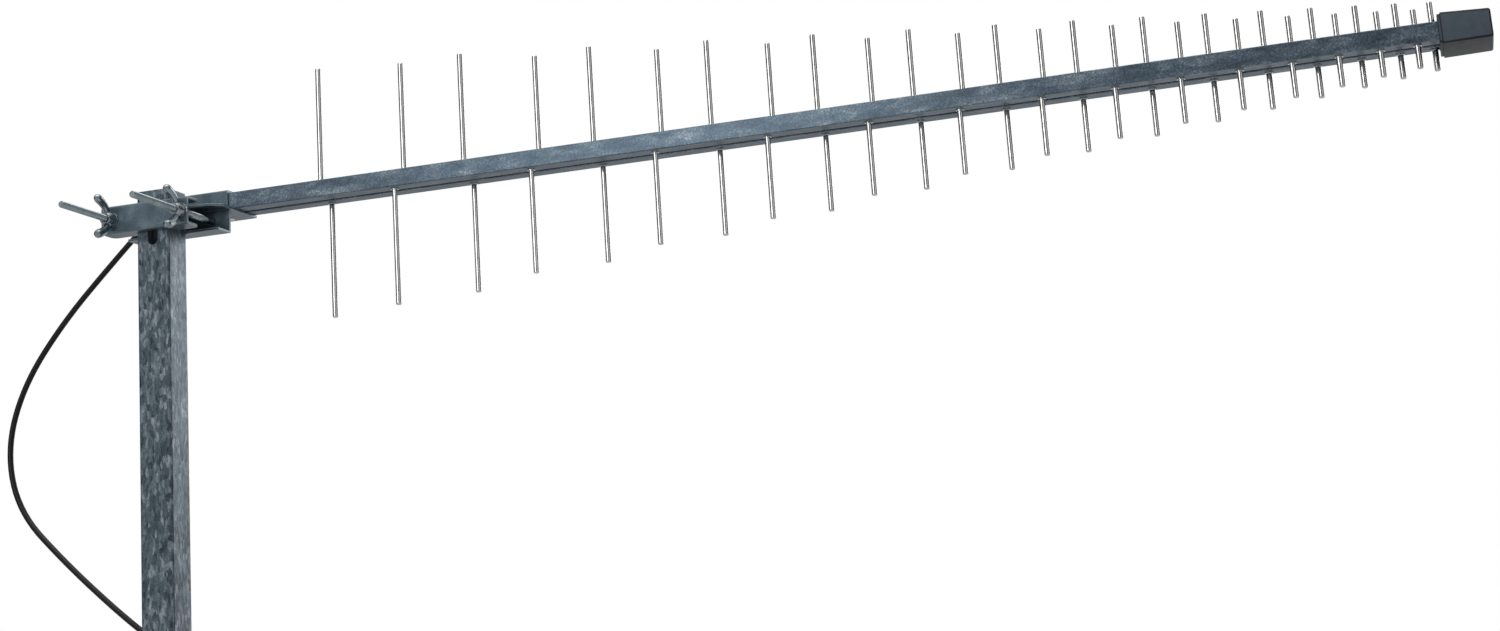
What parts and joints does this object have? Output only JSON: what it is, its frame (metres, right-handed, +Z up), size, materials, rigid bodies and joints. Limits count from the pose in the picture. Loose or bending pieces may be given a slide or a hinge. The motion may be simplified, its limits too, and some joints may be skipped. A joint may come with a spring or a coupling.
{
  "type": "log-periodic dipole antenna",
  "caption": "Long twin-boom log-periodic antenna with tapering riveted rods, a black nose cap, a wing-nut clamp on a square mast stub and a bowed feed cable.",
  "frame": {"origin": "centre of the mast stub's foot, where the stub is held", "axes": "+X along the booms towards the short dipoles and the nose cap, +Z up the mast and along the rods, +Y from the clamp plate through the mast to the booms"},
  "size_m": [1.2809, 0.1825, 0.7057],
  "materials": {
    "galvanised_steel": "hot-dip galvanised, spangled, dull",
    "clamp_steel": "folded sheet, zinc plated and blue passivated, smooth and dull",
    "zinc_plate": "bright zinc plated",
    "boom_aluminium": "mill finish, stained",
    "rod_aluminium": "drawn, satin",
    "black_plastic": "moulded, fine texture",
    "black_rubber": "moulded",
    "cable_jacket": "extruded, slightly glossy",
    "black_nylon": "moulded",
    "nickel_plate": "nickel plated, satin",
    "brass": "machined"
  },
  "bodies": {
    "mast": {"mast_tube": "galvanised_steel"},
    "clamp": {"clamp_plate": "clamp_steel", "clamp_washers": "zinc_plate"},
    "wing_left": {"wing_nut_left": "zinc_plate"},
    "wing_right": {"wing_nut_right": "zinc_plate"},
    "ring_nut": {"connector_nut": "nickel_plate"},
    "head": {"boom_far": "boom_aluminium", "boom_near": "boom_aluminium", "boom_saddle": "clamp_steel", "boom_spacer_1": "black_plastic", "boom_spacer_2": "black_plastic", "boom_spacer_3": "black_plastic", "cable_coil": "cable_jacket", "cable_gland": "black_rubber", "cable_tail": "cable_jacket", "cable_tie": "black_nylon", "connector_body": "nickel_plate", "connector_pin": "brass", "dipole_01": "rod_aluminium", "dipole_02": "rod_aluminium", "dipole_03": "rod_aluminium", "dipole_04": "rod_aluminium", "dipole_05": "rod_aluminium", "dipole_06": "rod_aluminium", "dipole_07": "rod_aluminium", "dipole_08": "rod_aluminium", "dipole_09": "rod_aluminium", "dipole_10": "rod_aluminium", "dipole_11": "rod_aluminium", "dipole_12": "rod_aluminium", "dipole_13": "rod_aluminium", "dipole_14": "rod_aluminium", "dipole_15": "rod_aluminium", "dipole_16": "rod_aluminium", "dipole_17": "rod_aluminium", "dipole_18": "rod_aluminium", "dipole_19": "rod_aluminium", "dipole_20": "rod_aluminium", "dipole_21": "rod_aluminium", "dipole_22": "rod_aluminium", "dipole_23": "rod_aluminium", "dipole_24": "rod_aluminium", "dipole_25": "rod_aluminium", "dipole_26": "rod_aluminium", "dipole_27": "rod_aluminium", "dipole_28": "rod_aluminium", "dipole_29": "rod_aluminium", "feed_cable": "cable_jacket", "feed_screws": "brass", "feed_strap": "brass", "front_plugs": "boom_aluminium", "inner_coax": "cable_jacket", "mast_bracket": "clamp_steel", "nose_cap": "black_plastic", "rear_plug_far": "black_plastic", "rear_plug_near": "black_plastic", "saddle_rivets": "rod_aluminium", "stud_left": "zinc_plate", "stud_right": "zinc_plate"}
  },
  "joints": [
    {"name": "mast_slide", "type": "slide", "parent": "mast", "child": "head", "axis": [0, 0, 1], "range_m": [-0.05, 0.01]},
    {"name": "clamp_travel", "type": "slide", "parent": "head", "child": "clamp", "axis": [0, -1, 0], "range_m": [0, 0.003]},
    {"name": "wing_left_spin", "type": "hinge", "parent": "clamp", "child": "wing_left", "pos_m": [-0.035, -0.024, 0.577], "axis": [0, -1, 0], "range_deg": [0, 1080]},
    {"name": "wing_right_spin", "type": "hinge", "parent": "clamp", "child": "wing_right", "pos_m": [0.03, -0.024, 0.577], "axis": [0, -1, 0], "range_deg": [0, 1080]},
    {"name": "ring_nut_spin", "type": "hinge", "parent": "head", "child": "ring_nut", "pos_m": [0.001, 0.027, 0.08], "axis": [0, 0, -1], "continuous": true}
  ],
  "couplings": [
    {"joint": "wing_left_spin", "follows": "clamp_travel", "rad_per_m": 6283.2},
    {"joint": "wing_right_spin", "follows": "clamp_travel", "rad_per_m": 6283.2}
  ]
}
